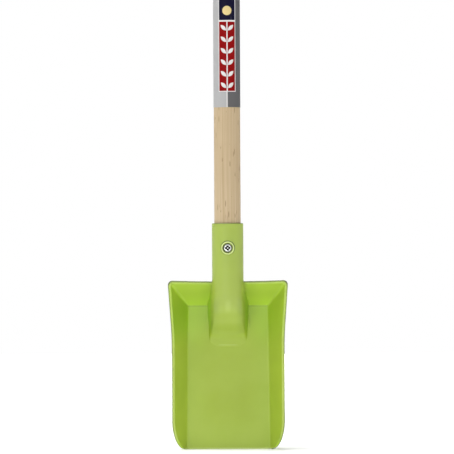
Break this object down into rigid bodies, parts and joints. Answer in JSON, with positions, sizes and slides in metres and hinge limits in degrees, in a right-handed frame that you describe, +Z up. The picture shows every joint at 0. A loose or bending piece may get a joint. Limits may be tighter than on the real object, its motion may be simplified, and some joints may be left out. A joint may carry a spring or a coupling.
{
  "type": "children's spade",
  "caption": "Children's garden spade: moulded plastic scoop blade with a tubular socket, round wooden shaft fixed by a cross-head screw, printed label round the shaft.",
  "frame": {"origin": "middle of the cutting edge, at half the thickness of the blade's floor", "axes": "+Z up along the shaft from the cutting edge to the top of the shaft, +X to the right and -Y towards a viewer who looks into the hollow face of the blade"},
  "size_m": [0.1138, 0.042, 0.75],
  "materials": {
    "lime_plastic": "satin moulded polypropylene, lime green",
    "pale_wood": "sanded pale hardwood, thin matt lacquer",
    "zinc_steel": "bright zinc plating",
    "label_film": "printed film, satin, in grey, red and dark blue fields"
  },
  "bodies": {
    "root": {"blade": "lime_plastic", "shaft": "pale_wood", "socket_screw": "zinc_steel", "shaft_label": "label_film"}
  },
  "joints": []
}
